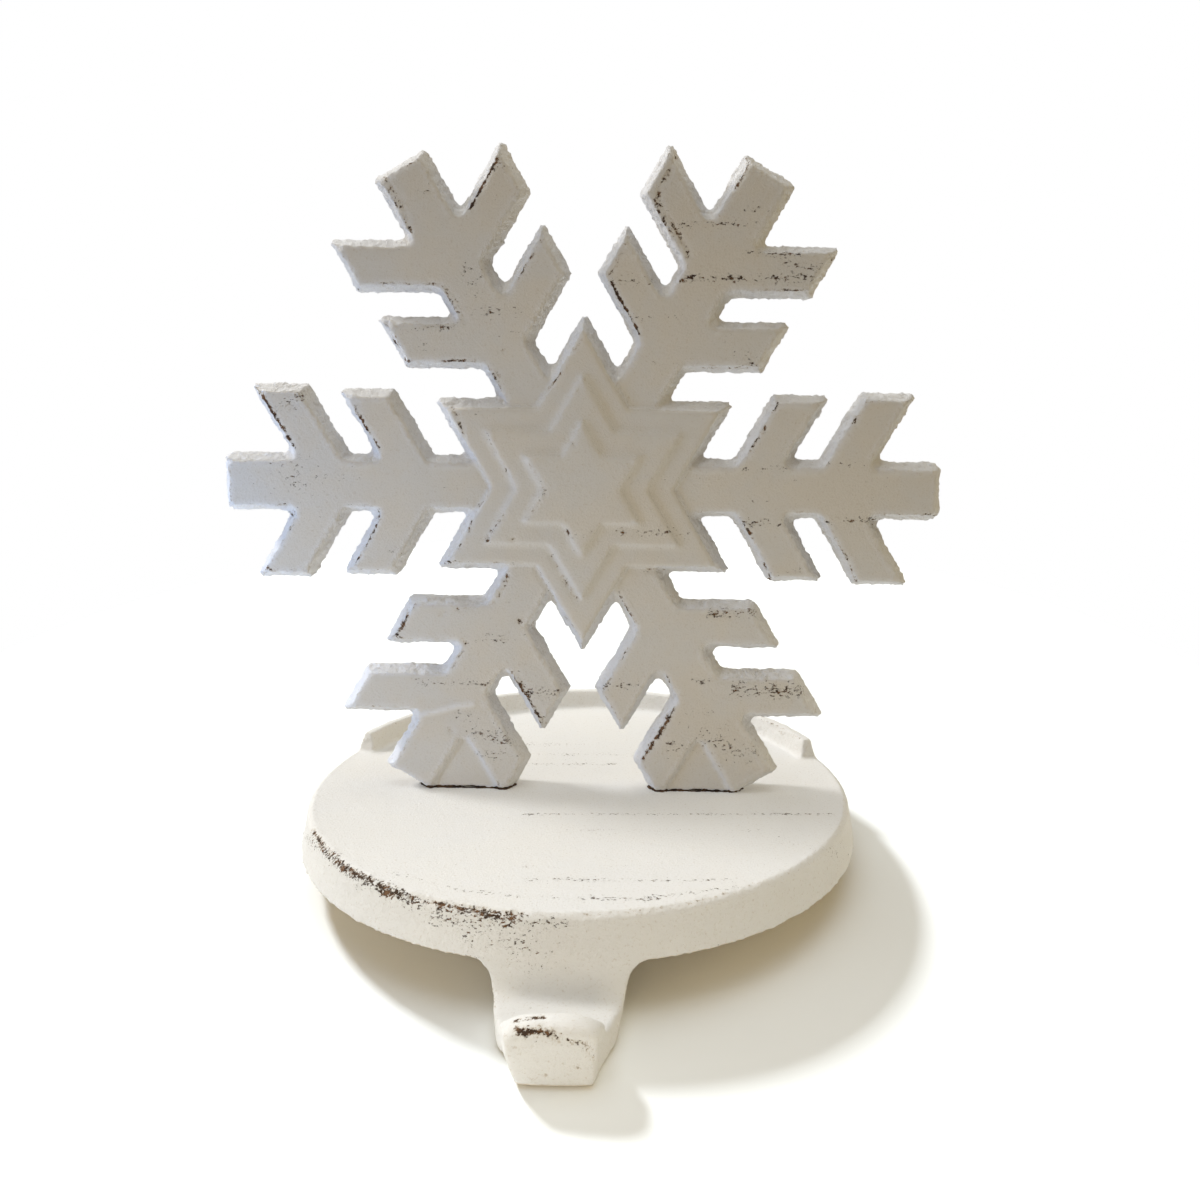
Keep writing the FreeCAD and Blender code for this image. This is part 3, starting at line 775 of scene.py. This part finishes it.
def make_screw():
    """Countersunk screw that stands on its head's flat, its axis on Z."""
    bpy.ops.object.select_all(action="DESELECT")
    bpy.ops.mesh.primitive_circle_add(
        vertices=40, radius=HEAD_RADIUS * 0.97, fill_type="NGON", location=(0, 0, screws_low.z)
    )
    screw = bpy.context.object
    bpy.ops.object.transform_apply(location=True, rotation=True, scale=True)
    bpy.ops.object.mode_set(mode="EDIT")
    bpy.ops.mesh.select_all(action="SELECT")
    neck = screws_low.z + HEAD_RADIUS - SHANK_RADIUS
    shape_ring(HEAD_RADIUS, screws_low.z + HEAD_RIM)
    shape_ring(SHANK_RADIUS, neck)
    top = screws_high.z - POINT_LENGTH
    for index in range(1, SHANK_RINGS + 1):
        shape_ring(SHANK_RADIUS, neck + (top - neck) * index / SHANK_RINGS)
    shape_ring(SHANK_RADIUS * POINT_SHARE, screws_high.z)
    bpy.ops.mesh.select_all(action="SELECT")
    bpy.ops.mesh.normals_make_consistent(inside=False)
    bpy.ops.object.mode_set(mode="OBJECT")
    press_thread(screw, neck + PLAIN_SHANK, top)
    return screw


def make_recess_cutter():
    """Two crossed blades, narrower towards the bottom of the recess."""
    blades = []
    for angle in (RECESS_TURN, RECESS_TURN + math.pi / 2):
        bpy.ops.object.select_all(action="DESELECT")
        bpy.ops.mesh.primitive_cube_add(
            size=1, location=(0, 0, screws_low.z), rotation=(0, 0, angle)
        )
        blade = bpy.context.object
        blade.scale = (RECESS_SPAN, RECESS_SLOT, 2 * RECESS_DEPTH)
        bpy.ops.object.mode_set(mode="EDIT")
        mesh = bmesh.from_edit_mesh(blade.data)
        for vertex in mesh.verts:
            if vertex.co.z > 0:
                vertex.co.xy = (vertex.co.x * 0.35, vertex.co.y * 0.5)
        bmesh.update_edit_mesh(blade.data)
        bpy.ops.object.mode_set(mode="OBJECT")
        blades.append(blade)
    blades[0].select_set(True)
    bpy.ops.object.join()
    return bpy.context.object


screw = make_screw()
cutter = make_recess_cutter()
apply_modifier(
    screw, "BOOLEAN", "recess", operation="DIFFERENCE", object=cutter, solver="EXACT", use_self=True
)
bpy.data.objects.remove(cutter)
apply_modifier(screw, "BEVEL", "soft", width=0.06 * MM, segments=2, limit_method="ANGLE")
select_only(screw)
bpy.ops.object.shade_smooth_by_angle(angle=math.radians(35))
pair = []
for number, side in enumerate((1, -1), start=1):
    piece = bpy.data.objects.new(f"foot_screw_{number}", screw.data.copy())
    bpy.context.scene.collection.objects.link(piece)
    twist = Matrix.Rotation(side * 0.7, 4, "Z")
    piece.data.transform(Matrix.Translation((side * SCREW_X, SCREW_Y, 0)) @ twist)
    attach(piece, "root")
    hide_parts("foot_screws")
    pair.append(piece)
bpy.data.objects.remove(screw)
print("screw faces:", len(pair[0].data.polygons))

# %% [markdown]
# The paint is a chalky off-white with faint warm and cool patches. The snowflake's faces get a
# greyer colour than its sides and edges or the base, which is painted shade; its sides and edges
# get a lighter one, which is painted light, and its raised crease the same lighter colour as a
# painted highlight. Chips are cut by noise whose threshold falls near a worn edge or under a mark,
# so their outline is ragged at any zoom. Below the paint the iron is rust brown, nearly black in
# the deepest chips, and round a chip the paint is rubbed thin and lets the brown through. Along
# the joint of the two castings the same dark iron is painted, as shade in the gap between them.
# The base's underside got little paint and is mostly tan undercoat, which also warms the shadow.

# %% Colours below the paint, and the grains of its patterns
RUST = (0.165, 0.084, 0.038)
DARK_IRON = (0.050, 0.026, 0.013)
THIN_PAINT = (0.46, 0.37, 0.26)
UNDERCOAT = (0.80, 0.62, 0.37)
STREAK = (0.55, 1, 1)
CHIP_GRAIN = 0.9 * MM
BREAK_GRAIN = 1.5 * MM
PIT_GRAIN = 0.45 * MM
SPECK_GRAIN = 0.5 * MM
GRIT_GRAIN = 0.5 * MM
LUMP_GRAIN = 1.4 * MM
STAIN_GRAIN = 1.6 * MM
PATCH_GRAIN = 9.0 * MM
TONE_GRAIN = 16.0 * MM
GRIT_HEIGHT = 0.34 * MM
print("colours below the paint:", RUST, DARK_IRON)


# %% Worn paint
def worn_paint(name, face_warm, face_cool, lit_side_colour, chip_depth, pit_density):
    """Paint with chips, pits, grit and painted light and shade, laid by the mesh's vertex values.
    """
    graph = Graph(bpy.data.materials.new(name))
    place = graph.node("TexCoord", out="Object")
    gap, wear = graph.attribute("edge_gap"), graph.attribute("edge_wear")
    chips, pits, joint = graph.attribute("chips"), graph.attribute("pits"), graph.attribute("joint")
    side, under = graph.attribute("side"), graph.attribute("under")

    # chips along the edges and under the marks
    ragged = graph.noise(place, CHIP_GRAIN, 6.0, 0.75)
    patch = graph.noise(place, PATCH_GRAIN, 3.0)
    broken = graph.noise(place, BREAK_GRAIN, 3.0).step(0.40, 0.60)
    at_edge = (1 - gap * 1.7).step(0.0, 1.0)
    general = at_edge * wear * (1 - side * 0.4) * patch.step(0.40, 0.58)
    worn = ragged + general * 0.46 + chips * (broken * 0.24 + chip_depth)
    # bare iron also where the castings meet: a dark line that is painted shade in the gap
    bare_and_joint_shade = (ragged * 0.6 + broken * 0.25 + joint).step(0.92, 1.04)
    bare = worn.step(0.80, 0.85).largest(bare_and_joint_shade)
    thin = worn.step(0.66, 0.84)

    # pits: the peaks of a fine noise, longer across than up, and more of them under a row of pits
    streaky = graph.node("VectorMath", {"operation": "MULTIPLY"}, _0=place, _1=STREAK)
    fine = graph.noise(streaky, PIT_GRAIN, 4.0, 0.7)
    pitted = pits * pit_density + chips * 0.12 + general * 0.15 + patch.step(0.46, 0.66) * 0.06
    bare = bare.largest((fine + pitted).step(0.73, 0.79))

    # colours, with painted shade on the snowflake's faces and painted light on its sides and edges
    tone = graph.noise(place, TONE_GRAIN, 3.0)
    speck = graph.noise(place, SPECK_GRAIN, 3.0)
    paint = graph.mix(tone.step(0.35, 0.65), face_warm, face_cool)
    # sides, edges and crease take the lighter colour: painted light, and a painted highlight on the
    # crease
    paint = graph.mix(side.largest(graph.attribute("creases") * 0.8), paint, lit_side_colour)
    paint = graph.mix(under * (patch * 0.5 + 0.5), paint, UNDERCOAT)
    paint = graph.mix(speck.step(0.55, 0.80) * 0.4, paint, THIN_PAINT)
    paint = graph.mix(thin * 0.6, paint, THIN_PAINT)
    stain = graph.noise(place, STAIN_GRAIN, 4.0).step(0.46, 0.60)
    metal = graph.mix(stain, DARK_IRON, RUST)
    colour = graph.mix(bare, paint, metal)

    # relief: grit all over, deeper on the sides, and chips and pits below the paint
    grit = graph.noise(place, GRIT_GRAIN, 5.0, 0.7)
    lumps = graph.noise(place, LUMP_GRAIN, 3.0, 0.6)
    height = grit * (side * 1.1 + 0.5) + lumps * side * 1.3 - bare * 0.5
    bump = graph.node("Bump", Strength=0.8, Distance=GRIT_HEIGHT, Height=height)
    matt = bare * 0.12 + 0.72
    finish = graph.node("BsdfPrincipled", Base_Color=colour, Roughness=matt, Normal=bump)
    graph.node("OutputMaterial", Surface=finish)
    print(name, "nodes:", len(graph.tree.nodes))
    return graph.owner


# %% Paint of the two castings, with painted shade and painted light on the snowflake
# The snowflake's face colours are greyer, as painted shade, and its side colour lighter, as painted
# light; the base's two barely differ.
snowflake_paint = worn_paint(
    "snowflake_paint", face_warm=(0.640, 0.600, 0.530), face_cool=(0.625, 0.605, 0.565),
    lit_side_colour=(0.79, 0.79, 0.795), chip_depth=0.17, pit_density=0.21
)
snowflake.data.materials.append(snowflake_paint)
base_paint = worn_paint(
    "base_paint", face_warm=(0.80, 0.80, 0.790), face_cool=(0.79, 0.795, 0.795),
    lit_side_colour=(0.80, 0.795, 0.78), chip_depth=0.23, pit_density=0.23
)
base.data.materials.append(base_paint)

# %% [markdown]
# The screws are plain steel gone dull: darker in patches, with fine scratches round the head.

# %% Screw steel
STEEL = (0.42, 0.40, 0.37)
STEEL_STAIN = (0.20, 0.15, 0.11)
STEEL_PATCH_GRAIN = 1.8 * MM
SCRATCH_GRAIN = 0.15 * MM
SCRATCH_HEIGHT = 0.02 * MM


def dull_steel():
    """Stained steel, less metallic and rougher where the stains are."""
    graph = Graph(bpy.data.materials.new("dull_steel"))
    place = graph.node("TexCoord", out="Object")
    patch = graph.noise(place, STEEL_PATCH_GRAIN, 5.0, 0.7)
    colour = graph.mix(patch.step(0.40, 0.68), STEEL, STEEL_STAIN)
    grit = graph.noise(place, SCRATCH_GRAIN, 3.0)
    bump = graph.node("Bump", Strength=0.3, Distance=SCRATCH_HEIGHT, Height=grit)
    finish = graph.node(
        "BsdfPrincipled", Base_Color=colour, Metallic=1 - patch.step(0.50, 0.72) * 0.5,
        Roughness=patch * 0.35 + 0.25, Normal=bump
    )
    graph.node("OutputMaterial", Surface=finish)
    return graph.owner


steel = dull_steel()
for piece in pair:
    piece.data.materials.append(steel)
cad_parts["foot_screws"].data.materials.clear()
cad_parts["foot_screws"].data.materials.append(steel)
print("steel on", len(pair), "screws")

# %% [markdown]
# The holder rests as it would on a table: the back of its disc and the bottom of its hook touch
# the floor, so the floor slopes a few degrees in the castings' own frame. It is small and pale,
# which lights the hook and the rim from below more than the snowflake above them.

# %% Floor
REST_BACK = Vector((0, 58.6, 0)) * MM
REST_FRONT = Vector((0, -72, -12.1)) * MM
FLOOR_RADIUS = 190 * MM
FLOOR_WHITE = (0.93, 0.95, 0.95, 1)

slope = math.atan2(REST_BACK.z - REST_FRONT.z, REST_BACK.y - REST_FRONT.y)
bpy.ops.object.select_all(action="DESELECT")
bpy.ops.mesh.primitive_circle_add(vertices=128, radius=FLOOR_RADIUS, fill_type="NGON")
floor = bpy.context.object
floor.name = "pale_floor"
floor.data.transform(Matrix.Translation(REST_BACK) @ Matrix.Rotation(slope, 4, "X"))
floor_graph = Graph(bpy.data.materials.new("floor_white"))
floor_graph.node("OutputMaterial", Surface=floor_graph.node("BsdfDiffuse", Color=FLOOR_WHITE))
floor.data.materials.append(floor_graph.owner)
print("the floor slopes by, degrees:", round(math.degrees(slope), 1))

# %% [markdown]
# A broad light overhead does most of the work, and the key comes from the left and a little
# behind, where it throws the disc's shadow to the right and forward. The snowflake throws no
# shadow of its own from that key in the picture, so the key is told that only the base may block
# it. The floor is burnt out to white in the picture, while the castings are not, so the key has a
# stronger twin that lights the floor alone, and a window on the left lights the castings alone.
# Weaker lights near the castings give the left arm its cool tone and the hook its glow.

# %% Lights
MIDDLE = Vector((0, 0, 50)) * MM
HOOK_END = Vector((0, -75, -5)) * MM
LEFT_ARMS = Vector((-62, -3, 55)) * MM


def soft_light(name, target, towards, distance, size, watts, colour):
    """Square area light that looks at a target from a direction."""
    direction = Vector(towards).normalized()
    bpy.ops.object.select_all(action="DESELECT")
    bpy.ops.object.light_add(type="AREA", location=target + direction * distance)
    light = bpy.context.object
    light.name = name
    light.rotation_mode = "QUATERNION"
    light.rotation_quaternion = direction.to_track_quat("Z", "Y")
    light.data.size = size
    light.data.energy = watts
    light.data.color = colour
    return light


def link_group(name, things):
    """Collection that a light is linked to."""
    group = bpy.data.collections.new(name)
    for thing in things:
        group.objects.link(thing)
    return group


only_base = link_group("only_base", [base])
only_floor = link_group("only_floor", [floor])
only_snowflake = link_group("only_snowflake", [snowflake])
only_castings = link_group("only_castings", [base, snowflake, *pair])
KEY_SIDE = (-0.9, 0.88, 1.0)
LIGHTS = (
    # name, target, where it stands from there, distance and side in metres, watts, colour
    ("left_key", MIDDLE, KEY_SIDE, 1.6, 0.2, 5.4, (1.0, 1.0, 1.0)),
    ("floor_key", MIDDLE, KEY_SIDE, 1.6, 0.2, 23.0, (0.90, 0.95, 1.0)),
    ("left_window", MIDDLE, (-1, 0.2, 0.7), 1.6, 0.3, 14.5, (1.0, 0.98, 0.95)),
    ("ceiling", MIDDLE, (0, 0, 1), 1.2, 1.2, 7.5, (0.86, 0.93, 1.0)),
    ("front_fill", MIDDLE, (-1, -1, 0.35), 0.8, 0.5, 0.77, (1.0, 0.97, 0.90)),
    ("right_lamp", MIDDLE, (1, 0.1, 0.3), 0.9, 0.5, 1.5, (1.0, 0.80, 0.40)),
    ("left_glow", LEFT_ARMS, (-1, -0.8, -0.1), 0.09, 0.05, 0.060, (0.34, 0.56, 1.0)),
    ("hook_glow", HOOK_END, (0, -115, 17), 0.116, 0.06, 0.042, (1.0, 0.89, 0.70)),
)
lights = {name: soft_light(name, *settings) for name, *settings in LIGHTS}
for name in ("left_key", "floor_key"):
    lights[name].light_linking.blocker_collection = only_base
receivers = {"floor_key": only_floor, "left_window": only_castings, "left_glow": only_snowflake}
for name, group in receivers.items():
    lights[name].light_linking.receiver_collection = group
print("lights:", ", ".join(lights))

# %% [markdown]
# A warm, dim room fills the shadows, and the camera sees plain white behind the holder, as in the
# photograph. The white doesn't light anything: only rays from the camera meet it.

# %% Room and backdrop
ROOM = (0.26, 0.212, 0.143, 1)
BACKDROP = (1, 1, 1, 1)
world_graph = Graph(bpy.data.worlds.new("room"))
room = world_graph.node("Background", Color=ROOM)
backdrop = world_graph.node("Background", Color=BACKDROP)
seen = world_graph.node("LightPath", out="Is Camera Ray")
shown = world_graph.node("MixShader", _0=seen, _1=room, _2=backdrop)
world_graph.node("OutputWorld", Surface=shown)
bpy.context.scene.world = world_graph.owner
bpy.context.scene.view_settings.view_transform = "Standard"
print("world nodes:", len(world_graph.tree.nodes))
